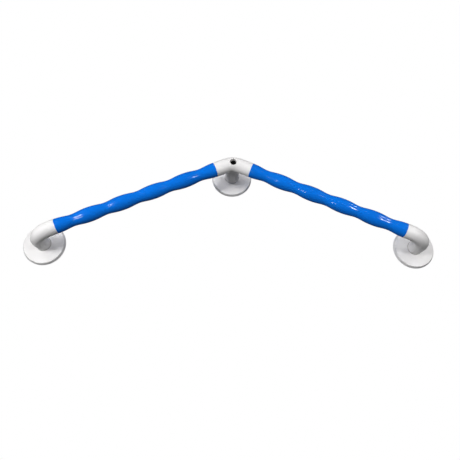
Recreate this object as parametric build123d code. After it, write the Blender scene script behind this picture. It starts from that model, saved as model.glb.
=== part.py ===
from build123d import *
from math import cos, pi, radians, sin, tan
import os

# Wall grab bar: two wavy grips fall away from a centre bend at 135 degrees to each other.
# Millimetres, as mounted: X runs along the wall, Z is up, the wall is the plane Y = 0 and
# the rail stands out towards -Y. The origin is the centre of the middle wall pad's back face.

# Rail
arm_drop = 22.5  # degrees that each arm falls below level
arm_length = 450.0  # from where the two arms' axes would cross to an end post's axis
standoff = 72.5  # from the wall to the rail's axis
fitting_r = 16.0  # outside of the elbows, the centre bend and the end posts
centre_post_r = 15.9
bend_r = 40.0  # centre line of every bend

# Grips: radius = grip_mean_r (1 + wave_depth cos(t) - wave_shape cos(2 t)), one wave each 2 pi
grip_start = 43.0  # from where the arms' axes would cross
waves = 5
wave_length = 71.4
grip_mean_r = 14.7
wave_depth = 0.1
wave_shape = 0.0125
grip_wall = 2.0
points_per_wave = 12

# Core tubes and their sockets
core_r = 11.0
core_wall = 1.5
socket_depth = 23.0
fit_gap = 0.05  # radial gap of every pushed-in or screwed-in piece
end_gap = 0.5  # between a tube's end and its socket's floor
mouth_chamfer = 0.4
crease_r = 2.0  # where the centre post runs into the bend

# Foot of each post: rubber pad, steel plate, then the post
pad_r = 38.0
pad_t = 1.0
plate_r = 40.0
plate_t = 3.0
wall_holes = 3
wall_hole_circle_r = 30.0
wall_hole_r = 2.75
wall_sink_r = 5.25
foot_y = pad_t + plate_t
pip_r = 2.0
pip_offset = 11.0
pip_length = 2.5

# Cover roses and their grip rings, as depths from the wall
rose_r = 46.5
rose_lip = 0.6
rose_face_r = 43.5
rose_face_y = 6.2
rose_edge_r = 1.6
rose_crown_y = 8.3
rose_swell = 0.4  # how far the face stands above a straight cone halfway out
rose_wall = 2.2
rose_bore_r = fitting_r + 0.3
rose_boss_r = 20.6
rose_boss_y = 4.3
ring_y = 5.3
ring_t = 1.6
ring_inner_r = fitting_r + 0.05
ring_outer_r = ring_inner_r + 1.6
ring_gap = 0.3
snap_ribs = 6
snap_rib_r = plate_r + 0.3
snap_rib_w = 8.0

# Fasteners: radii and lengths
post_screw_r = 3.0
post_screw_head_r = 5.65
post_screw_length = 18.0
insert_r = 5.5
insert_length = 14.0
insert_run_out = 1.5  # drilled past the insert, clear of the screw's tip
bolt_r = 4.0
bolt_length = 70.0
bolt_head_r = 6.5
bolt_head_t = 8.0
bolt_key = 6.0  # across the flats of its socket
bolt_key_depth = 4.0
bolt_end_y = 1.8  # from the wall to the bolt's tip
washer_r = 6.9
washer_t = 1.6
counterbore_r = 7.2
counterbore_edge_r = 1.2
nut_r = 7.0
nut_length = 11.0
tube_screw_r = 2.0
tube_screw_head_r = 3.6
tube_screw_head_t = 2.4
tube_screw_recess = 2.6
tube_screw_from_mouth = 9.0
tube_screw_reach = 4.0  # past the tube's outside

grip_end = grip_start + waves * wave_length
bend_start = arm_length - bend_r
axis_y = -standoff
arms_cross_z = bend_r * (1 / cos(radians(arm_drop)) - 1)  # above the middle of the centre bend


def arm_plane(side):
    """Along an arm: local Z follows the rail's axis outwards and local X points to the wall."""
    fall = radians(arm_drop)
    return Plane(
        origin=(0, axis_y, arms_cross_z), x_dir=(0, 1, 0), z_dir=(side * cos(fall), 0, -sin(fall))
    )


def post_plane(side):
    """At a post's foot on the wall: local Z points away from the wall and local Y is up."""
    fall = radians(arm_drop)
    at = (side * arm_length * cos(fall), 0, abs(side) * (arms_cross_z - arm_length * sin(fall)))
    return Plane(origin=at, x_dir=(1, 0, 0), z_dir=(0, -1, 0))


def rod(r, low, high):
    """A round bar along local Z from low to high."""
    return Pos(0, 0, low) * Cylinder(r, high - low, align=(Align.CENTER, Align.CENTER, Align.MIN))


def cone(low_r, high_r, low, high):
    return Pos(0, 0, low) * Cone(
        low_r, high_r, high - low, align=(Align.CENTER, Align.CENTER, Align.MIN)
    )


def around(count, r, turn=90):
    """Places spread evenly on a circle, the first one turned from local X by turn degrees."""
    return [Rot(0, 0, turn + 360 * i / count) * Pos(r, 0, 0) for i in range(count)]


def grip_radius(along):
    t = 2 * pi * along / wave_length
    return grip_mean_r * (1 + wave_depth * cos(t) - wave_shape * cos(2 * t))


def grip_sleeve():
    steps = waves * points_per_wave
    alongs = [waves * wave_length * i / steps for i in range(steps + 1)]
    outer = Spline([(grip_radius(s), 0, grip_start + s) for s in alongs], tangents=((0, 0, 1), (0, 0, 1)))
    inner = Spline(
        [(grip_radius(s) - grip_wall, 0, grip_start + s) for s in alongs],
        tangents=((0, 0, 1), (0, 0, 1)),
    )
    ends = Line(outer @ 0, inner @ 0) + Line(outer @ 1, inner @ 1)
    return revolve(make_face(outer + inner + ends), Axis.Z)


def tube_screw_place(mouth, inwards):
    """Where a tube screw's axis leaves a fitting, on the side that faces the wall."""
    along = mouth + inwards * tube_screw_from_mouth
    return Pos(fitting_r, 0, along) * Rot(0, 90, 0)


def tube_screw_space():
    """The hole of a tube screw through a fitting's wall, drawn in from the outside."""
    shank = rod(tube_screw_r + fit_gap, -fitting_r, 0)
    head = rod(tube_screw_head_r + 0.4, -tube_screw_recess, 2)
    return shank + head


def tube_screw():
    head_low = fit_gap - tube_screw_recess
    head = rod(tube_screw_head_r, head_low, head_low + tube_screw_head_t)
    head = fillet(head.edges().sort_by(Axis.Z)[-1], 0.8)
    slot = Pos(0, 0, head_low + tube_screw_head_t) * (Box(4.4, 1.0, 2.4) + Box(1.0, 4.4, 2.4))
    tip = core_r - fitting_r - tube_screw_reach
    return head - slot + rod(tube_screw_r, tip, head_low)


def core_tube():
    low = grip_start - socket_depth + end_gap
    high = grip_end + socket_depth - end_gap
    tube = rod(core_r, low, high) - rod(core_r - core_wall, low, high)
    for mouth, inwards in ((grip_start, -1), (grip_end, 1)):
        tube -= tube_screw_place(mouth, inwards) * rod(tube_screw_r + fit_gap, -fitting_r, 0)
    return tube


def foot_pips():
    """Two moulded pips on a post's foot that stop it turning on its plate."""
    low = foot_y - pip_length
    return Part() + [Pos(x, 0, 0) * rod(pip_r, low, foot_y + 1) for x in (-pip_offset, pip_offset)]


def elbow(side):
    """A moulded end fitting: socket, bend and post, with a curved hollow past the socket."""
    post_end = standoff - foot_y
    bend = TangentArc((0, 0, bend_start), (bend_r, 0, arm_length), tangent=(0, 0, 1))
    path = Line((0, 0, grip_end), bend @ 0) + bend + Line(bend @ 1, (post_end, 0, arm_length))
    mouth = Plane((0, 0, grip_end))
    body = sweep(mouth * Circle(fitting_r), path=path)
    body = chamfer(body.edges().sort_by(Axis.Z)[0], mouth_chamfer)
    hollow_end = Line(bend @ 1, (bend_r + 4, 0, arm_length))
    hollow = sweep(Plane(bend @ 0) * Circle(core_r - 2), path=bend + hollow_end)
    body -= rod(core_r + fit_gap, grip_end, grip_end + socket_depth) + hollow
    body -= tube_screw_place(grip_end, 1) * tube_screw_space()
    body = arm_plane(side) * body
    foot = post_plane(side)
    body += foot * foot_pips()
    return body - foot * rod(insert_r + fit_gap, foot_y, foot_y + insert_length + insert_run_out)


def centre_fitting():
    """A bend with a socket at each end and a post at its middle, counterbored from the front."""
    post = post_plane(0)
    left, right = arm_plane(-1), arm_plane(1)
    tangent_length = bend_r * tan(radians(arm_drop))
    bend_ends = [arm.origin + arm.z_dir * tangent_length for arm in (left, right)]
    mouths = [arm.origin + arm.z_dir * grip_start for arm in (left, right)]
    bend = ThreePointArc(bend_ends[0], (0, axis_y, 0), bend_ends[1])
    path = Line(mouths[0], bend_ends[0]) + bend + Line(bend_ends[1], mouths[1])
    body = sweep(Plane(mouths[0], z_dir=-left.z_dir) * Circle(fitting_r), path=path)
    for mouth in (0, -1):
        rims = body.edges().filter_by(GeomType.CIRCLE).sort_by(Axis.X)
        body = chamfer(rims[mouth], mouth_chamfer)
    body += post * rod(centre_post_r, foot_y, standoff)
    body = fillet(body.edges().filter_by(GeomType.BSPLINE), crease_r)
    seat = bolt_end_y + bolt_length - washer_t
    body -= post * rod(counterbore_r, seat, standoff + fitting_r + 1)
    body = fillet(body.edges().sort_by(Axis.Y)[0], counterbore_edge_r)
    for arm in (left, right):
        body -= arm * rod(core_r + fit_gap, grip_start - socket_depth, grip_start + 1)
        body -= arm * tube_screw_place(grip_start, -1) * tube_screw_space()
    body += post * foot_pips()
    body -= post * rod(bolt_r + 0.3, 0, standoff)
    return body - post * rod(nut_r + 0.3, foot_y - 1, nut_length + 1)


def wall_pad():
    pad = rod(pad_r, 0, pad_t)
    holes = [place * rod(wall_hole_r, -1, pad_t + 1) for place in around(wall_holes, wall_hole_circle_r)]
    return pad - holes


def wall_plate(centre_r, sunk):
    """A steel plate with countersunk wall holes, pip holes and one centre hole."""
    plate = rod(plate_r, pad_t, foot_y)
    plate = chamfer(plate.edges().sort_by(Axis.Z)[-1], 0.5)
    for place in around(wall_holes, wall_hole_circle_r):
        sink = wall_sink_r - wall_hole_r
        plate -= place * (
            rod(wall_hole_r, 0, foot_y + 1) + cone(wall_hole_r, wall_sink_r, foot_y - sink, foot_y)
        )
    plate -= [Pos(x, 0, 0) * rod(pip_r + 0.1, 0, foot_y + 1) for x in (-pip_offset, pip_offset)]
    plate -= rod(centre_r, 0, foot_y + 1)
    if sunk:
        plate -= cone(post_screw_head_r + fit_gap, centre_r, pad_t, foot_y)
    return plate


def post_screw():
    """A countersunk screw from the wall side, with a cross recess in its head."""
    shank = rod(post_screw_r, foot_y, pad_t + post_screw_length)
    head = cone(post_screw_head_r, post_screw_r, pad_t + fit_gap, foot_y)
    recess = Box(6.0, 1.2, 3.2) + Box(1.2, 6.0, 3.2)
    return head + shank - Pos(0, 0, pad_t) * recess


def post_insert():
    """A brass insert with two knurled bands."""
    low = foot_y + 0.1
    body = rod(insert_r - 0.4, low, low + insert_length)
    for band in (1.5, 8.0):
        body += rod(insert_r, low + band, low + band + 4.5)
    return body - rod(post_screw_r + fit_gap, low - 1, low + insert_length + 1)


def plate_nut():
    """A round threaded bush pressed into the centre plate."""
    return rod(nut_r, pad_t + fit_gap, nut_length) - rod(bolt_r + fit_gap, 0, nut_length + 1)


def centre_bolt():
    """A cap-head bolt with a hexagon socket."""
    seat = bolt_end_y + bolt_length
    head = rod(bolt_head_r, seat, seat + bolt_head_t)
    head = chamfer(head.edges().sort_by(Axis.Z)[-1], 0.8)
    key = RegularPolygon(bolt_key / 2, 6, major_radius=False)
    head -= Pos(0, 0, seat + bolt_head_t) * extrude(key, -bolt_key_depth)
    return head + rod(bolt_r, bolt_end_y, seat)


def bolt_washer():
    seat = bolt_end_y + bolt_length
    low = seat - washer_t + fit_gap
    return rod(washer_r, low, seat - fit_gap) - rod(bolt_r + 0.2, low, seat)


def swollen(start, end):
    """The rose's face between two points of its section, an arc that stands above their chord."""
    middle = (start + end) / 2 + Vector(0, rose_swell)
    return ThreePointArc(start, middle, end)


def rose():
    """A cover: drafted rim, domed face and a grooved boss round the post, with snap ribs inside."""
    rim = Polyline(
        (rose_face_r, rose_face_y),
        (rose_r, rose_lip),
        (rose_r, 0),
        (rose_r - rose_wall, 0),
        (rose_face_r - rose_wall, rose_face_y - rose_wall),
    )
    boss = Polyline(
        (rose_boss_r, rose_crown_y - rose_wall),
        (rose_boss_r, rose_boss_y),
        (rose_bore_r, rose_boss_y),
        (rose_bore_r, rose_crown_y),
    )
    section = make_face(rim + swollen(rim @ 1, boss @ 0) + boss + swollen(boss @ 1, rim @ 0))
    edge = section.vertices().sort_by_distance((rose_face_r, rose_face_y))[0]
    section = fillet(edge, rose_edge_r)
    mouth = section.vertices().sort_by_distance((rose_bore_r, rose_crown_y))[0]
    section = Plane.XZ * fillet(mouth, 0.4)
    body = revolve(section, Axis.Z)
    groove_low = ring_y - ring_gap
    groove_high = ring_y + ring_t + ring_gap
    body -= rod(ring_outer_r + ring_gap, groove_low, groove_high)
    rib_depth = rose_face_r - rose_wall - snap_rib_r + 1
    for place in around(snap_ribs, snap_rib_r + rib_depth / 2):
        rib = Pos(0, 0, 1.4) * Box(
            rib_depth, snap_rib_w, rose_face_y - rose_wall - 1, align=(Align.CENTER, Align.CENTER, Align.MIN)
        )
        body += place * rib
    return body


def grip_ring():
    ring = rod(ring_outer_r, ring_y, ring_y + ring_t)
    ring -= rod(ring_inner_r, ring_y, ring_y + ring_t)
    return fillet(ring.edges(), 0.35)


def write(name, shape):
    export_step(shape, f"parts/{name}.step")


os.makedirs("parts", exist_ok=True)

sleeve = grip_sleeve()
tube = core_tube()
screw = tube_screw()
for word, side in (("left", -1), ("right", 1)):
    arm = arm_plane(side)
    post = post_plane(side)
    write(f"{word}_grip_sleeve", arm * sleeve)
    write(f"{word}_core_tube", arm * tube)
    write(f"{word}_elbow", elbow(side))
    write(f"{word}_tube_screw", arm * tube_screw_place(grip_end, 1) * screw)
    write(f"{word}_plate", post * wall_plate(post_screw_r + 0.2, True))
    write(f"{word}_post_insert", post * post_insert())
    write(f"{word}_post_screw", post * post_screw())

write("centre_fitting", centre_fitting())
write(
    "centre_tube_screws",
    Compound([arm_plane(side) * tube_screw_place(grip_start, -1) * screw for side in (-1, 1)]),
)
centre = post_plane(0)
write("centre_plate", centre * wall_plate(nut_r + fit_gap, False))
write("centre_plate_nut", centre * plate_nut())
write("centre_bolt", centre * centre_bolt())
write("centre_bolt_washer", centre * bolt_washer())

for word, side in (("left", -1), ("centre", 0), ("right", 1)):
    post = post_plane(side)
    write(f"{word}_rose", post * rose())
    write(f"{word}_grip_ring", post * grip_ring())
    write(f"{word}_wall_pad", post * wall_pad())
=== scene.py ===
import math

import bmesh
import bpy
import numpy as np
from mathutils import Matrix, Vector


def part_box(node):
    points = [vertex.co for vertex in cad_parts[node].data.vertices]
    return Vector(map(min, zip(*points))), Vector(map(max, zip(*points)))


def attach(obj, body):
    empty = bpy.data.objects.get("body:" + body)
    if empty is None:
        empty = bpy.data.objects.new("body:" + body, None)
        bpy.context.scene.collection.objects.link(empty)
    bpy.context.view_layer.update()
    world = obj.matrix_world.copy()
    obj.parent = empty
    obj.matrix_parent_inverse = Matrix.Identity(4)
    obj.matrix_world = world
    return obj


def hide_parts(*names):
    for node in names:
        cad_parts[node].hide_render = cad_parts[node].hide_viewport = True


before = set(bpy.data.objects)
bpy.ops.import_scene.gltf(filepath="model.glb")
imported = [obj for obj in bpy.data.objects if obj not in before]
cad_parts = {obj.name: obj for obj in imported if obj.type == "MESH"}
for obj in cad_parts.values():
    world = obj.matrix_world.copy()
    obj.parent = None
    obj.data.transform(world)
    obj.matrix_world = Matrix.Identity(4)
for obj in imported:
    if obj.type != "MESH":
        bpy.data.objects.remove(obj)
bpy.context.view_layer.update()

mm = 0.001
words = ("left", "centre", "right")
wallwards = np.array([0.0, 1.0, 0.0])
roomwards = -wallwards
upwards = np.array([0.0, 0.0, 1.0])
print("frame loaded:", len(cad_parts), "nodes")


def nodePoints(node):
    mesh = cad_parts[node].data
    flat = np.empty(len(mesh.vertices) * 3)
    mesh.vertices.foreach_get("co", flat)
    return flat.reshape(-1, 3)


# how far a node reaches along a direction, counted from a point
def reach(node, direction, start=(0, 0, 0)):
    along = (nodePoints(node) - np.array(start)) @ direction
    return along.min(), along.max()


# where a post's axis meets the wall
def wallPoint(word):
    low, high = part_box(f"{word}_wall_pad")
    return np.array([(low[0] + high[0]) / 2, high[1], (low[2] + high[2]) / 2])


def unit(vector):
    return np.array(vector) / np.linalg.norm(vector)


rail = {
    "armDrop": math.radians(22.5),
    "armLength": 450 * mm,
    "fittingR": 16 * mm,
    "bendR": 40 * mm,
    "foot": 4 * mm,
}
standoff = -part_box("centre_fitting")[0][1] - rail["fittingR"]


# the direction in which an arm leaves the centre, and the point where both arms' axes would cross
def armFrame(word):
    side = np.sign(wallPoint(word)[0])
    outwards = np.array([side * math.cos(rail["armDrop"]), 0, -math.sin(rail["armDrop"])])
    crossing = wallPoint(word) + roomwards * standoff - outwards * rail["armLength"]
    return {"outwards": outwards, "start": crossing}


arms = {word: armFrame(word) for word in ("left", "right")}


# neighbouring points of a rows x columns grid make one four-sided face each
def gridFaces(rows, columns, first, closedRows):
    index = first + np.arange(rows * columns).reshape(rows, columns)
    index = np.concatenate([index, index[:, :1]], axis=1)
    if closedRows:
        index = np.concatenate([index, index[:1]], axis=0)
    corners = (index[:-1, :-1], index[:-1, 1:], index[1:, 1:], index[1:, :-1])
    return np.stack(corners, axis=-1).reshape(-1, 4)


# one mesh from several closed grids whose columns go all the way round; equal points are joined
def meshFrom(name, grids, closedRows=False):
    points, faces, first = [], [], 0
    for grid in grids:
        rows, columns = grid.shape[:2]
        points.append(grid.reshape(-1, 3))
        faces.append(gridFaces(rows, columns, first, closedRows))
        first += rows * columns
    mesh = bpy.data.meshes.new(name)
    mesh.from_pydata(np.concatenate(points).tolist(), [], np.concatenate(faces).tolist())
    work = bmesh.new()
    work.from_mesh(mesh)
    bmesh.ops.remove_doubles(work, verts=work.verts, dist=0.001 * mm)
    bmesh.ops.recalc_face_normals(work, faces=work.faces)
    work.to_mesh(mesh)
    work.free()
    piece = bpy.data.objects.new(name, mesh)
    bpy.context.scene.collection.objects.link(piece)
    return piece


# adds a closed tool shape to a piece or cuts it away, and removes the tool
def combined(piece, tool, operation):
    change = piece.modifiers.new("change", "BOOLEAN")
    change.operation = operation
    change.solver = "EXACT"
    change.object = tool
    shapes = bpy.context.evaluated_depsgraph_get()
    made = bpy.data.meshes.new_from_object(piece.evaluated_get(shapes))
    piece.modifiers.clear()
    piece.data = made
    bpy.data.objects.remove(tool)
    return piece


# rounds the corners of an outline given as (across, along, rounding): each becomes an arc that
# touches both its sides
def roundedOutline(corners, steps=6):
    corners = np.array(corners, float)
    spots, radii = corners[:, :2], corners[:, 2]
    outline = []
    for before, spot, after, radius in zip(np.roll(spots, 1, 0), spots, np.roll(spots, -1, 0), radii):
        if radius == 0:
            outline.append(spot[None])
            continue
        inwards, onwards = unit(before - spot), unit(after - spot)
        half = math.acos(np.clip(inwards @ onwards, -1, 1)) / 2
        back = radius / math.tan(half)
        heart = spot + unit(inwards + onwards) * radius / math.sin(half)
        ends = spot + inwards * back - heart, spot + onwards * back - heart
        turn = math.pi - 2 * half
        share = np.linspace(0, 1, steps + 1)[:, None]
        arc = (np.sin((1 - share) * turn) * ends[0] + np.sin(share * turn) * ends[1]) / math.sin(turn)
        outline.append(heart + arc)
    return np.concatenate(outline)


# adds points to an open outline so that no two neighbours are further apart than the gap
def filled(outline, gap):
    result = []
    for here, there in zip(outline, outline[1:]):
        count = max(1, math.ceil(np.linalg.norm(there - here) / gap))
        result.append(here + (there - here) * np.arange(count)[:, None] / count)
    return np.concatenate(result + [outline[-1:]])


# an outline turned about an axis: each (across, along) point goes round a circle of radius across
def turned(outline, heart, along, across, steps):
    angle = np.linspace(0, 2 * math.pi, steps, endpoint=False)
    spokes = np.cos(angle)[:, None] * across + np.sin(angle)[:, None] * np.cross(along, across)
    return heart + outline[:, 1, None, None] * along + outline[:, 0, None, None] * spokes


# two straight lines joined by an arc; a place s along it is counted from the arc's middle:
# point = heart - radius inwards(s) on the arc, and straight on along its tangent past either end
def bentPath(corner, before, after, radius):
    turn = math.acos(before @ after)
    middle, inside = unit(before + after), unit(after - before)
    heart = corner + inside * radius / math.cos(turn / 2)
    half = radius * turn / 2

    def place(s):
        onArc = np.clip(s, -half, half)
        angle = (onArc / radius)[:, None]
        tangent = np.cos(angle) * middle + np.sin(angle) * inside
        inwards = np.cos(angle) * inside - np.sin(angle) * middle
        return heart - radius * inwards + (s - onArc)[:, None] * tangent, inwards, np.cross(middle, inside)

    return place, half


# an outline carried along a path: point + across (cos a inwards + sin a sideways) for each (across, s)
def swept(outline, place, steps):
    point, inwards, sideways = place(outline[:, 1])
    angle = np.linspace(0, 2 * math.pi, steps, endpoint=False)[None, :, None]
    ring = np.cos(angle) * inwards[:, None, :] + np.sin(angle) * sideways
    return point[:, None, :] + outline[:, 0, None, None] * ring


# a straight round tool or bar between two heights along a direction
def rod(radius, low, high, heart, along, steps=48):
    outline = np.array([(0, low), (radius, low), (radius, high), (0, high)])
    return turned(outline, heart, along, sideOf(along), steps)


def sideOf(along):
    return unit(np.cross(along, upwards if abs(along[2]) < 0.9 else wallwards))


def finishPiece(piece, material, body, slotName, *nodes, sharpAngle=32):
    piece.data.shade_smooth()
    piece.data.set_sharp_from_angle(angle=math.radians(sharpAngle))
    piece.data.materials.clear()
    piece.data.materials.append(material)
    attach(piece, body)
    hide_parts(*nodes)
    return piece


def startMaterial(name):
    material = bpy.data.materials.new(name)
    material.use_nodes = True
    nodes = material.node_tree.nodes
    return material, nodes, material.node_tree.links, nodes["Principled BSDF"]


def objectCoordinates(nodes, links, stretch=(1, 1, 1)):
    place = nodes.new("ShaderNodeTexCoord")
    mapping = nodes.new("ShaderNodeMapping")
    mapping.inputs["Scale"].default_value = stretch
    links.new(place.outputs["Object"], mapping.inputs["Vector"])
    return mapping.outputs["Vector"]


def noise(nodes, links, vector, scale, detail=2.0, roughness=0.5):
    texture = nodes.new("ShaderNodeTexNoise")
    texture.inputs["Scale"].default_value = scale
    texture.inputs["Detail"].default_value = detail
    texture.inputs["Roughness"].default_value = roughness
    links.new(vector, texture.inputs["Vector"])
    return texture.outputs["Fac"]


def spread(nodes, links, value, low, high):
    change = nodes.new("ShaderNodeMapRange")
    change.inputs["From Min"].default_value = 0.3
    change.inputs["From Max"].default_value = 0.7
    change.inputs["To Min"].default_value = low
    change.inputs["To Max"].default_value = high
    links.new(value, change.inputs["Value"])
    return change.outputs["Result"]


def blendColours(nodes, links, value, first, second, low=0.35, high=0.65):
    ramp = nodes.new("ShaderNodeValToRGB")
    ramp.color_ramp.elements[0].position = low
    ramp.color_ramp.elements[0].color = (*first, 1)
    ramp.color_ramp.elements[1].position = high
    ramp.color_ramp.elements[1].color = (*second, 1)
    links.new(value, ramp.inputs["Fac"])
    return ramp.outputs["Color"]


# darkens the colour where surfaces close in on each other, as a stand-in for soft shade: colour
# times a ramp of the ambient occlusion; the bolt's hole, within openR of the axis, is left out
def cornerShade(nodes, links, clean, look):
    closeness = nodes.new("ShaderNodeAmbientOcclusion")
    closeness.samples = 24
    closeness.inputs["Distance"].default_value = look["cornerReach"]
    fromAxis = nodes.new("ShaderNodeVectorMath")
    fromAxis.operation = "LENGTH"
    links.new(objectCoordinates(nodes, links, (1, 0, 1)), fromAxis.inputs[0])
    inHole = nodes.new("ShaderNodeMath")
    inHole.operation = "LESS_THAN"
    inHole.inputs[1].default_value = look["openR"]
    links.new(fromAxis.outputs["Value"], inHole.inputs[0])
    openness = nodes.new("ShaderNodeMath")
    openness.operation = "MAXIMUM"
    links.new(closeness.outputs["AO"], openness.inputs[0])
    links.new(inHole.outputs["Value"], openness.inputs[1])
    corner, white = look["corner"], (1, 1, 1)
    tint = blendColours(nodes, links, openness.outputs["Value"], corner, white, *look["cornerFrom"])
    mix = nodes.new("ShaderNodeMix")
    mix.data_type = "RGBA"
    mix.blend_type = "MULTIPLY"
    mix.inputs["Factor"].default_value = 1.0
    links.new(clean, mix.inputs["A"])
    links.new(tint, mix.inputs["B"])
    return mix.outputs["Result"]


def bump(nodes, links, height, strength, distance):
    node = nodes.new("ShaderNodeBump")
    node.inputs["Strength"].default_value = strength
    node.inputs["Distance"].default_value = distance
    links.new(height, node.inputs["Height"])
    return node.outputs["Normal"]


# moulded plastic: two close colours in soft patches and uneven gloss; the fittings and roses also
# get shaded corners and slow sink marks, and the grips get neither
def mouldedPlastic(name, look):
    material, nodes, links, shader = startMaterial(name)
    vector = objectCoordinates(nodes, links)
    patches = noise(nodes, links, vector, look["patchScale"], 3)
    clean = blendColours(nodes, links, patches, look["shade"], look["colour"])
    # on the fittings and roses this colour carries painted shade in their corners and creases
    skin = cornerShade(nodes, links, clean, look) if "corner" in look else clean
    links.new(skin, shader.inputs["Base Color"])
    gloss = noise(nodes, links, vector, look["glossScale"], 4, 0.6)
    links.new(spread(nodes, links, gloss, *look["roughness"]), shader.inputs["Roughness"])
    if "wave" in look:
        swells = noise(nodes, links, vector, look["waveScale"], 1)
        links.new(bump(nodes, links, swells, look["wave"], 1 * mm), shader.inputs["Normal"])
    shader.inputs["IOR"].default_value = 1.5
    shader.inputs["Specular IOR Level"].default_value = look["shine"]
    return material


gripLook = {
    "colour": (0.0015, 0.172, 0.76),
    "shade": (0.0012, 0.158, 0.71),
    "patchScale": 18,
    "roughness": (0.13, 0.16),
    "glossScale": 25,
    "shine": 0.4,
}
fittingLook = {
    "colour": (0.88, 0.865, 0.865),
    "shade": (0.845, 0.835, 0.83),
    "patchScale": 30,
    "roughness": (0.3, 0.42),
    "glossScale": 90,
    "wave": 0.08,
    "waveScale": 80,
    "shine": 0.4,
    # painted corner shade: its darkest colour, how far the occlusion looks, where its ramp runs, and the bolt
    # hole's radius that is left unshaded
    "corner": (0.22, 0.19, 0.16),
    "cornerReach": 45 * mm,
    "cornerFrom": (0.08, 0.62),
    "openR": 7.5 * mm,
}
roseLook = dict(fittingLook, patchScale=22, roughness=(0.34, 0.46))


# metal: stretched noise for the brush or turning marks, cloudy gloss, and a darker tone in patches
def metal(name, look):
    material, nodes, links, shader = startMaterial(name)
    lines = noise(nodes, links, objectCoordinates(nodes, links, look["stretch"]), look["lineScale"], 3)
    clouds = noise(nodes, links, objectCoordinates(nodes, links), look["cloudScale"], 4)
    links.new(blendColours(nodes, links, clouds, look["shade"], look["colour"]), shader.inputs["Base Color"])
    links.new(spread(nodes, links, lines, *look["roughness"]), shader.inputs["Roughness"])
    links.new(bump(nodes, links, lines, look["mark"], 0.05 * mm), shader.inputs["Normal"])
    shader.inputs["Metallic"].default_value = 1.0
    return material


steelLook = {
    "colour": (0.62, 0.62, 0.61),
    "shade": (0.5, 0.5, 0.5),
    "stretch": (1, 1, 30),
    "lineScale": 60,
    "cloudScale": 60,
    "roughness": (0.28, 0.42),
    "mark": 0.3,
}
zincLook = dict(steelLook, colour=(0.7, 0.7, 0.66), shade=(0.55, 0.55, 0.5), stretch=(1, 1, 1), lineScale=900)
blackBoltLook = dict(zincLook, colour=(0.05, 0.05, 0.05), shade=(0.025, 0.025, 0.025))
brassLook = dict(zincLook, colour=(0.72, 0.5, 0.2), shade=(0.55, 0.37, 0.14))


# rubber: nearly black with paler patches and a matt grain
def rubber(name, look):
    material, nodes, links, shader = startMaterial(name)
    vector = objectCoordinates(nodes, links)
    patches = noise(nodes, links, vector, look["patchScale"], 5, 0.65)
    links.new(blendColours(nodes, links, patches, look["colour"], look["pale"]), shader.inputs["Base Color"])
    grain = noise(nodes, links, vector, look["grainScale"], 3)
    links.new(spread(nodes, links, grain, *look["roughness"]), shader.inputs["Roughness"])
    links.new(bump(nodes, links, grain, look["mark"], look["markDepth"]), shader.inputs["Normal"])
    return material


padLook = {
    "colour": (0.03, 0.031, 0.033),
    "pale": (0.07, 0.07, 0.07),
    "patchScale": 45,
    "grainScale": 900,
    "roughness": (0.6, 0.85),
    "mark": 0.4,
    "markDepth": 0.2 * mm,
}

gripPlastic = mouldedPlastic("gripPlastic", gripLook)
fittingPlastic = mouldedPlastic("fittingPlastic", fittingLook)
rosePlastic = mouldedPlastic("rosePlastic", roseLook)
brushedSteel = metal("brushedSteel", steelLook)
zincSteel = metal("zincSteel", zincLook)
blackSteel = metal("blackSteel", blackBoltLook)
turnedBrass = metal("turnedBrass", brassLook)
padRubber = rubber("padRubber", padLook)
print("materials made")


camera = {
    "place": (-0.040392, -0.95376, -0.452534),
    "upTilt": 0.32692,
    "rightTurn": 0.03812,
    "lens": 34.522,
}


def makeCamera():
    data = bpy.data.cameras.new("camera")
    data.lens = camera["lens"]
    data.sensor_width = 36
    data.clip_start = 0.02
    seer = bpy.data.objects.new("camera", data)
    seer.location = camera["place"]
    seer.rotation_euler = (math.pi / 2 + camera["upTilt"], 0, -camera["rightTurn"])
    bpy.context.scene.collection.objects.link(seer)
    bpy.context.scene.camera = seer


makeCamera()


grip = {"waves": 5, "meanR": 14.7 * mm, "depth": 0.1, "shape": 0.0125, "wall": 2 * mm, "edge": 0.5 * mm}


# radius = mean (1 + depth cos t - shape cos 2t), with one wave for each full turn of t
def gripRadius(along, length):
    t = 2 * math.pi * grip["waves"] * along / length
    return grip["meanR"] * (1 + grip["depth"] * np.cos(t) - grip["shape"] * np.cos(2 * t))


# the wavy outline with rounded ends, and the inner wall a set distance inside, turned about the arm
def makeGrip(word):
    arm = arms[word]
    low, high = reach(f"{word}_grip_sleeve", arm["outwards"], arm["start"])
    length = high - low
    edge = grip["edge"]
    along = np.linspace(0, length, 60 * grip["waves"] + 1)
    outer = np.stack([gripRadius(along, length), low + along], axis=1)
    corner = np.linspace(0, math.pi / 2, 7)[:, None]
    full = gripRadius(0, length)
    ends = []
    for at, sign in ((low, 1), (high, -1)):
        across, inwards = full - edge + edge * np.sin(corner), edge * (1 - np.cos(corner))
        ends.append(np.concatenate([across, at + sign * inwards], axis=1)[::sign])
    keep = (along > edge) & (along < length - edge)
    inside = np.stack([gripRadius(along, length) - grip["wall"], low + along], axis=1)[::-1]
    outline = np.concatenate([ends[0], outer[keep], ends[1], inside])
    grid = turned(outline, arm["start"], arm["outwards"], wallwards, 112)
    piece = meshFrom(f"{word}Grip", [grid], closedRows=True)
    finishPiece(piece, gripPlastic, "rail", "grip_plastic", f"{word}_grip_sleeve")


for word in ("left", "right"):
    makeGrip(word)
print("grips made")


fitting = {
    "socketR": 11.05 * mm,
    "socketDepth": 23 * mm,
    "mouthEdge": 0.5 * mm,
    "footEdge": 0.3 * mm,
    "hollowR": 9 * mm,
    "pipR": 2 * mm,
    "pipOffset": 11 * mm,
    "pipLength": 2.5 * mm,
    "screwFromMouth": 9 * mm,
    "screwR": 2.05 * mm,
    "recessR": 4 * mm,
    "recessDepth": 2.6 * mm,
    "steps": 112,
}


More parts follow.
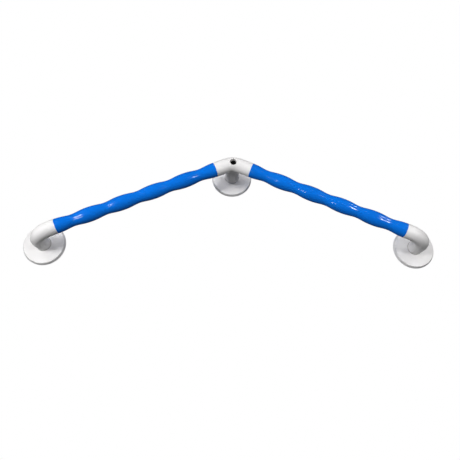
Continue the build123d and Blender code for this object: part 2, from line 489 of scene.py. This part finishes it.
# the stepped hole of a tube screw, drawn from the wall side towards an arm's axis
def screwHole(name, onAxis):
    outer = rail["fittingR"]
    shank = fitting["screwR"], fitting["recessR"]
    outline = np.array([
        (0, 3 * mm),
        (shank[0], 3 * mm),
        (shank[0], outer - fitting["recessDepth"]),
        (shank[1], outer - fitting["recessDepth"]),
        (shank[1], outer + 2 * mm),
        (0, outer + 2 * mm),
    ])
    return meshFrom(name, [turned(outline, onAxis, wallwards, upwards, 48)])


# the two pips under a post's foot
def footPips(word):
    low, high = rail["foot"] - fitting["pipLength"], rail["foot"] + 1 * mm
    hearts = [wallPoint(word) + np.array([side * fitting["pipOffset"], 0, 0]) for side in (-1, 1)]
    return meshFrom("pips", [rod(fitting["pipR"], low, high, heart, roomwards) for heart in hearts])


elbow = {"insertR": 5.55 * mm, "insertDepth": 15.5 * mm, "hollowPast": 4 * mm}


# socket, bend and post as one outline carried along the bent path, closed on the path at both ends
def makeElbow(word):
    arm = arms[word]
    corner = arm["start"] + arm["outwards"] * rail["armLength"]
    place, half = bentPath(corner, arm["outwards"], wallwards, rail["bendR"])
    gripEnd = reach(f"{word}_grip_sleeve", arm["outwards"], arm["start"])[1]
    mouth = -half - (rail["armLength"] - rail["bendR"] - gripEnd)
    foot = half + standoff - rail["bendR"] - rail["foot"]
    outer, socket = rail["fittingR"], fitting["socketR"]
    socketEnd, hollowEnd = mouth + fitting["socketDepth"], half + elbow["hollowPast"]
    bore, boreEnd = elbow["insertR"], foot - elbow["insertDepth"]
    outline = roundedOutline([
        (0, hollowEnd, 0),
        (fitting["hollowR"], hollowEnd, 0),
        (fitting["hollowR"], socketEnd, 0),
        (socket, socketEnd, 0),
        (socket, mouth, fitting["mouthEdge"]),
        (outer, mouth, fitting["mouthEdge"]),
        (outer, foot, fitting["footEdge"]),
        (bore, foot, 0),
        (bore, boreEnd, 0),
        (0, boreEnd, 0),
    ])
    piece = meshFrom(f"{word}Elbow", [swept(filled(outline, 1.6 * mm), place, fitting["steps"])])
    onAxis = arm["start"] + arm["outwards"] * (gripEnd + fitting["screwFromMouth"])
    combined(piece, screwHole("screwHole", onAxis), "DIFFERENCE")
    combined(piece, footPips(word), "UNION")
    finishPiece(piece, fittingPlastic, "rail", "fitting_plastic", f"{word}_elbow")


for word in ("left", "right"):
    makeElbow(word)
print("elbows made")


centre = {
    "postR": 15.9 * mm,
    "seat": 70.2 * mm,
    "counterboreR": 7.2 * mm,
    "counterboreEdge": 1.2 * mm,
    "boltHoleR": 4.3 * mm,
    "nutHoleR": 7.3 * mm,
    "nutHoleEnd": 12 * mm,
}


# the bolt's stepped hole; its mouth widens by edge (1 - cos t) while it rises to the bend's front,
# which stands sqrt(R^2 - (r sin a)^2) in front of the axis at the angle a from the bend's own direction
def boltHole(heart):
    angle = np.linspace(0, 2 * math.pi, fitting["steps"], endpoint=False)
    radius, edge = centre["counterboreR"], centre["counterboreEdge"]
    corner = np.linspace(0, math.pi / 2, 9)
    across = np.concatenate([
        [0, centre["nutHoleR"], centre["nutHoleR"], centre["boltHoleR"], centre["boltHoleR"], radius],
        radius + edge * (1 - np.cos(corner)),
        [radius + edge, 0],
    ])
    along = np.concatenate([
        [0, 0, centre["nutHoleEnd"], centre["nutHoleEnd"], centre["seat"], centre["seat"]],
        standoff - edge * (1 - np.sin(corner)),
        [standoff + rail["fittingR"] + edge] * 2,
    ])
    height = np.repeat(along[:, None], len(angle), axis=1)
    follow = slice(6, 6 + len(corner))
    front = np.sqrt(rail["fittingR"] ** 2 - (across[follow, None] * np.sin(angle)) ** 2)
    height[follow] += front
    spokes = np.cos(angle)[:, None] * np.array([1.0, 0, 0]) + np.sin(angle)[:, None] * upwards
    grid = heart + height[..., None] * roomwards + across[:, None, None] * spokes
    return meshFrom("boltHole", [grid])


# the bend with its two sockets, joined to the post and cut by the bolt's and the tube screws' holes
def makeCentreFitting():
    left, right = arms["left"], arms["right"]
    place, half = bentPath(right["start"], -left["outwards"], right["outwards"], rail["bendR"])
    gripStart = reach("right_grip_sleeve", right["outwards"], right["start"])[0]
    mouth = half + gripStart - rail["bendR"] * math.tan(rail["armDrop"])
    outer, socket, floor = rail["fittingR"], fitting["socketR"], mouth - fitting["socketDepth"]
    outline = roundedOutline([
        (0, -floor, 0),
        (socket, -floor, 0),
        (socket, -mouth, fitting["mouthEdge"]),
        (outer, -mouth, fitting["mouthEdge"]),
        (outer, mouth, fitting["mouthEdge"]),
        (socket, mouth, fitting["mouthEdge"]),
        (socket, floor, 0),
        (0, floor, 0),
    ])
    piece = meshFrom("centreFitting", [swept(filled(outline, 1.1 * mm), place, fitting["steps"])])
    heart = wallPoint("centre")
    post = filled(roundedOutline([
        (0, rail["foot"], 0),
        (centre["postR"], rail["foot"], fitting["footEdge"]),
        (centre["postR"], standoff, 0),
        (0, standoff, 0),
    ]), 4 * mm)
    combined(piece, meshFrom("post", [turned(post, heart, roomwards, upwards, fitting["steps"])]), "UNION")
    combined(piece, boltHole(heart), "DIFFERENCE")
    for arm in (left, right):
        onAxis = arm["start"] + arm["outwards"] * (gripStart - fitting["screwFromMouth"])
        combined(piece, screwHole("screwHole", onAxis), "DIFFERENCE")
    combined(piece, footPips("centre"), "UNION")
    finishPiece(piece, fittingPlastic, "rail", "fitting_plastic", "centre_fitting")


makeCentreFitting()
print("centre fitting made")


rose = {
    "rimR": 46.5 * mm,
    "lip": 0.6 * mm,
    "faceR": 43.5 * mm,
    "faceY": 6.2 * mm,
    "edge": 1.6 * mm,
    "crownY": 8.3 * mm,
    "swell": 0.4 * mm,
    "wall": 2.2 * mm,
    "boreR": 16.3 * mm,
    "bossR": 20.6 * mm,
    "bossY": 4.3 * mm,
    "ringY": (5.0 * mm, 7.2 * mm),
    "ringR": 17.95 * mm,
    "ribR": 40.3 * mm,
    "ribWidth": 8 * mm,
    "ribY": (1.4 * mm, 4.4 * mm),
    "ribs": 6,
}


# the rose's face between two points: a straight line raised by 4 swell t (1 - t)
def swollenFace(start, end):
    t = np.linspace(0, 1, 25)[:, None]
    line = (1 - t) * np.array(start) + t * np.array(end)
    line[:, 1:] += 4 * rose["swell"] * t * (1 - t)
    return line


# replaces an outline's point nearest to a corner by an arc that touches the lines on both its sides
def withRoundedCorner(outline, corner, radius):
    at = np.argmin(np.linalg.norm(outline - np.array(corner), axis=1))
    spot, before, after = outline[at], outline[at - 1], outline[(at + 1) % len(outline)]
    arc = roundedOutline([(*before, 0), (*spot, radius), (*after, 0)], 8)[1:-1]
    ends = [np.linalg.norm(arc[0] - spot), np.linalg.norm(arc[-1] - spot)]
    distance = np.linalg.norm(outline - spot, axis=1)
    earlier = [i for i in range(len(outline)) if i < at and not (distance[i] < ends[0] and at - i < 8)]
    later = [i for i in range(len(outline)) if i > at and not (distance[i] < ends[1] and i - at < 8)]
    return np.concatenate([outline[earlier], arc, outline[later]])


# rim, domed face, bore with its ring groove, boss and hollow back, turned about the post's axis
def makeRose(word):
    faceCorner, boreTop = (rose["faceR"], rose["faceY"]), (rose["boreR"], rose["crownY"])
    underCorner = (rose["faceR"] - rose["wall"], rose["faceY"] - rose["wall"])
    bossTop = (rose["bossR"], rose["crownY"] - rose["wall"])
    low, high = rose["ringY"]
    outline = np.concatenate([
        [(rose["rimR"] - rose["wall"], 0), (rose["rimR"], 0), (rose["rimR"], rose["lip"])],
        swollenFace(faceCorner, boreTop),
        [(rose["boreR"], high), (rose["ringR"], high), (rose["ringR"], low), (rose["boreR"], low)],
        [(rose["boreR"], rose["bossY"]), (rose["bossR"], rose["bossY"])],
        swollenFace(bossTop, underCorner),
    ])
    outline = withRoundedCorner(outline, faceCorner, rose["edge"])
    outline = withRoundedCorner(outline, boreTop, 0.4 * mm)
    heart = wallPoint(word)
    piece = meshFrom(f"{word}Rose", [turned(outline, heart, roomwards, upwards, 168)], closedRows=True)
    combined(piece, snapRibs(heart), "UNION")
    finishPiece(piece, rosePlastic, f"{word}_rose_body", "rose_plastic", f"{word}_rose")


# six blocks inside the rim, each closed by its own four corners at two depths
def snapRibs(heart):
    grids = []
    for turn in np.arange(rose["ribs"]) * 2 * math.pi / rose["ribs"]:
        out = math.cos(turn) * upwards + math.sin(turn) * np.array([1.0, 0, 0])
        side = np.cross(out, roomwards) * rose["ribWidth"] / 2
        inner, outer = rose["ribR"], rose["ribR"] + 2 * mm
        square = np.array([out * inner - side, out * inner + side, out * outer + side, out * outer - side])
        middle = square.mean(axis=0)[None].repeat(4, axis=0)
        low, high = (roomwards * y for y in rose["ribY"])
        grids.append(heart + np.stack([middle + low, square + low, square + high, middle + high]))
    return meshFrom("ribs", grids)


for word in words:
    makeRose(word)
print("roses made")


ring = {"innerR": 16.05 * mm, "outerR": 17.65 * mm, "low": 5.3 * mm, "high": 6.9 * mm, "edge": 0.35 * mm}


# a square section with rounded corners turned about the post's axis
def makeGripRing(word):
    outline = roundedOutline([
        (ring["innerR"], ring["low"], ring["edge"]),
        (ring["outerR"], ring["low"], ring["edge"]),
        (ring["outerR"], ring["high"], ring["edge"]),
        (ring["innerR"], ring["high"], ring["edge"]),
    ])
    grid = turned(outline, wallPoint(word), roomwards, upwards, 112)
    piece = meshFrom(f"{word}GripRing", [grid], closedRows=True)
    finishPiece(piece, padRubber, f"{word}_ring_body", "ring_rubber", f"{word}_grip_ring", sharpAngle=60)


plate = {
    "padR": 38 * mm,
    "padY": 1 * mm,
    "padEdge": 0.15 * mm,
    "plateR": 40 * mm,
    "plateY": 4 * mm,
    "edge": 0.5 * mm,
    "holes": 3,
    "circleR": 30 * mm,
    "holeR": 2.75 * mm,
    "sinkR": 5.25 * mm,
    "pipHoleR": 2.1 * mm,
    "nutR": 7.05 * mm,
    "screwR": 3.2 * mm,
    "screwSinkR": 5.7 * mm,
}


# the wall-screw holes of a pad or a plate, widened by a cone at the front when they are sunk
def wallHoles(heart, sunk):
    sink = plate["sinkR"] - plate["holeR"] if sunk else 0
    top = plate["plateY"] + 1 * mm
    outline = np.array([
        (0, -1 * mm),
        (plate["holeR"], -1 * mm),
        (plate["holeR"], plate["plateY"] - sink),
        (plate["holeR"] + sink, plate["plateY"]),
        (plate["holeR"] + sink, top),
        (0, top),
    ])
    grids = []
    for turn in np.arange(plate["holes"]) * 2 * math.pi / plate["holes"]:
        out = math.cos(turn) * upwards + math.sin(turn) * np.array([1.0, 0, 0])
        grids.append(turned(outline, heart + out * plate["circleR"], roomwards, upwards, 48))
    return meshFrom("wallHoles", grids)


# a thin disc with a rounded wall edge turned about the post's axis, less its screw holes
def makeWallPad(word):
    heart = wallPoint(word)
    outline = roundedOutline([
        (0, 0, 0),
        (plate["padR"], 0, plate["padEdge"]),
        (plate["padR"], plate["padY"], 0),
        (0, plate["padY"], 0),
    ])
    piece = meshFrom(f"{word}WallPad", [turned(outline, heart, roomwards, upwards, 144)])
    combined(piece, wallHoles(heart, False), "DIFFERENCE")
    finishPiece(piece, padRubber, "rail", "pad_rubber", f"{word}_wall_pad")


# a disc with a bevelled front edge; an end plate's centre hole is sunk from the wall side
def makePlate(word):
    heart = wallPoint(word)
    low, high, radius = plate["padY"], plate["plateY"], plate["plateR"]
    back, front = (plate["nutR"],) * 2 if word == "centre" else (plate["screwSinkR"], plate["screwR"])
    outline = np.array([
        (back, low),
        (radius, low),
        (radius, high - plate["edge"]),
        (radius - plate["edge"], high),
        (front, high),
    ])
    piece = meshFrom(f"{word}Plate", [turned(outline, heart, roomwards, upwards, 144)], closedRows=True)
    combined(piece, wallHoles(heart, True), "DIFFERENCE")
    sides = [heart + np.array([side * fitting["pipOffset"], 0, 0]) for side in (-1, 1)]
    pipHoles = [rod(plate["pipHoleR"], 0, high + 1 * mm, side, roomwards) for side in sides]
    combined(piece, meshFrom("pipHoles", pipHoles), "DIFFERENCE")
    finishPiece(piece, brushedSteel, "rail", "plate_steel", f"{word}_plate")


for word in words:
    makeGripRing(word)
    makeWallPad(word)
    makePlate(word)
print("rings, pads and plates made")


bolt = {
    "shankR": 4 * mm,
    "tip": 1.8 * mm,
    "under": 71.8 * mm,
    "headR": 6.5 * mm,
    "headT": 8 * mm,
    "edge": 0.8 * mm,
    "key": 6 * mm,
    "keyDepth": 4 * mm,
    "washerR": 6.9 * mm,
    "washerBoreR": 4.2 * mm,
    "washerY": (70.25 * mm, 71.75 * mm),
}


# shank and head turned in one outline, then a six-sided socket cut with a prism
def makeBolt():
    heart = wallPoint("centre")
    top = bolt["under"] + bolt["headT"]
    outline = roundedOutline([
        (0, bolt["tip"], 0),
        (bolt["shankR"], bolt["tip"], 0.6 * mm),
        (bolt["shankR"], bolt["under"], 0),
        (bolt["headR"], bolt["under"], 0.2 * mm),
        (bolt["headR"], top, bolt["edge"]),
        (0, top, 0),
    ])
    piece = meshFrom("centreBolt", [turned(outline, heart, roomwards, upwards, 72)])
    corner = bolt["key"] / math.sqrt(3)
    prism = rod(corner, top - bolt["keyDepth"], top + 1 * mm, heart, roomwards, 6)
    combined(piece, meshFrom("key", [prism]), "DIFFERENCE")
    finishPiece(piece, blackSteel, "rail", "bolt_steel", "centre_bolt")
    low, high = bolt["washerY"]
    outline = roundedOutline([
        (bolt["washerBoreR"], low, 0),
        (bolt["washerR"], low, 0.2 * mm),
        (bolt["washerR"], high, 0.2 * mm),
        (bolt["washerBoreR"], high, 0),
    ])
    washer = meshFrom("centreBoltWasher", [turned(outline, heart, roomwards, upwards, 72)], closedRows=True)
    finishPiece(washer, zincSteel, "rail", "screw_steel", "centre_bolt_washer")


makeBolt()
print("bolt made")


# a CAD node that stays: joined points, split sharp edges and a material
def dress(node, material):
    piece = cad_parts[node]
    piece.data.materials.clear()
    piece.data.materials.append(material)
    piece.data.shade_smooth()
    joined = piece.modifiers.new("joined", "WELD")
    joined.merge_threshold = 0.002 * mm
    split = piece.modifiers.new("split", "EDGE_SPLIT")
    split.split_angle = math.radians(28)


dressing = {"centre_plate_nut": zincSteel, "centre_tube_screws": zincSteel}
for word in ("left", "right"):
    dressing[f"{word}_core_tube"] = brushedSteel
    dressing[f"{word}_tube_screw"] = zincSteel
    dressing[f"{word}_post_screw"] = zincSteel
    dressing[f"{word}_post_insert"] = turnedBrass
for node, material in dressing.items():
    dress(node, material)
print("CAD nodes dressed")


stage = {
    "floorZ": -1.0,
    "floorR": 2.2,
    "fadeFrom": 0.7,
    "fadeTo": 2.0,
    "tone": (0.8, 0.8, 0.8, 1),
    "aim": (0, 0, -0.08),
    "glow": 0.06,
    "backdrop": 1.0,
}


# a pale floor that fades into the white backdrop with distance; it throws no light back up and
# isn't mirrored
def makeFloor():
    angle = np.linspace(0, 2 * math.pi, 96, endpoint=False)
    rings = np.array([0.0, stage["floorR"]])[:, None]
    level = np.full((2, len(angle)), stage["floorZ"])
    grid = np.stack([rings * np.cos(angle), rings * np.sin(angle), level], axis=-1)
    floor = meshFrom("floor", [grid])
    material, nodes, links, shader = startMaterial("floorPaint")
    shader.inputs["Base Color"].default_value = stage["tone"]
    shader.inputs["Roughness"].default_value = 0.7
    away = nodes.new("ShaderNodeVectorMath")
    away.operation = "LENGTH"
    flat = objectCoordinates(nodes, links, (1, 1, 0))
    links.new(flat, away.inputs[0])
    fade = nodes.new("ShaderNodeMapRange")
    fade.interpolation_type = "SMOOTHSTEP"
    fade.inputs["From Min"].default_value = stage["fadeFrom"]
    fade.inputs["From Max"].default_value = stage["fadeTo"]
    links.new(away.outputs["Value"], fade.inputs["Value"])
    white = nodes.new("ShaderNodeEmission")
    mix = nodes.new("ShaderNodeMixShader")
    links.new(fade.outputs["Result"], mix.inputs["Fac"])
    links.new(shader.outputs["BSDF"], mix.inputs[1])
    links.new(white.outputs["Emission"], mix.inputs[2])
    links.new(mix.outputs["Shader"], nodes["Material Output"].inputs["Surface"])
    floor.data.materials.append(material)
    floor.visible_diffuse = False
    floor.visible_glossy = False


# a lamp aimed at the object and hidden from the camera; it shows in gloss only if it is mirrored
def softLight(name, place, size, power, mirrored):
    data = bpy.data.lights.new(name, "AREA")
    data.shape = "RECTANGLE"
    data.size, data.size_y = size
    data.energy = power
    light = bpy.data.objects.new(name, data)
    away = unit(np.array(place) - np.array(stage["aim"]))
    light.location = place
    light.visible_camera = False
    light.visible_glossy = mirrored
    light.rotation_euler = (math.acos(away[2]), 0, math.atan2(away[0], -away[1]))
    bpy.context.scene.collection.objects.link(light)


# the camera sees the white backdrop, and everything else is lit by a faint bluish glow
def makeWorld():
    world = bpy.data.worlds.new("world")
    bpy.context.scene.world = world
    world.use_nodes = True
    nodes, links = world.node_tree.nodes, world.node_tree.links
    nodes.clear()
    seen = nodes.new("ShaderNodeBackground")
    seen.inputs["Color"].default_value = (1, 1, 1, 1)
    seen.inputs["Strength"].default_value = stage["backdrop"]
    glow = nodes.new("ShaderNodeBackground")
    glow.inputs["Color"].default_value = (0.95, 0.98, 1, 1)
    glow.inputs["Strength"].default_value = stage["glow"]
    path = nodes.new("ShaderNodeLightPath")
    mix = nodes.new("ShaderNodeMixShader")
    out = nodes.new("ShaderNodeOutputWorld")
    links.new(path.outputs["Is Camera Ray"], mix.inputs["Fac"])
    links.new(glow.outputs["Background"], mix.inputs[1])
    links.new(seen.outputs["Background"], mix.inputs[2])
    links.new(mix.outputs["Shader"], out.inputs["Surface"])


# each lamp: its place, its width and height, its power, and whether gloss mirrors it
lamps = {
    "rightUpper": ((1.75, -1.36, 1.12), (0.3, 0.4), 10, True),
    "rightLower": ((1.2, -2.12, -0.3), (0.3, 0.5), 17, True),
    "middle": ((0.42, -2.16, 0.78), (0.6, 0.6), 8, False),
    "left": ((-1.26, -2.17, -0.06), (0.3, 0.5), 17, True),
    "leftLower": ((-0.81, -2.04, -1.21), (0.3, 0.5), 15, True),
    "high": ((-1.43, -1.38, 1.07), (0.6, 0.6), 7, False),
    "farLeft": ((-1.93, -1.2, -0.31), (0.6, 0.6), 18, False),
    "backLeft": ((-0.69, 2.07, 0.63), (0.8, 0.8), 22, False),
    "backRight": ((0.69, 2.07, 0.63), (0.8, 0.8), 20, False),
}

makeFloor()
makeWorld()
for name, (place, size, power, mirrored) in lamps.items():
    softLight(name, place, size, power, mirrored)
view = bpy.context.scene.view_settings
view.view_transform = "Standard"
view.look = "None"
print("stage made")
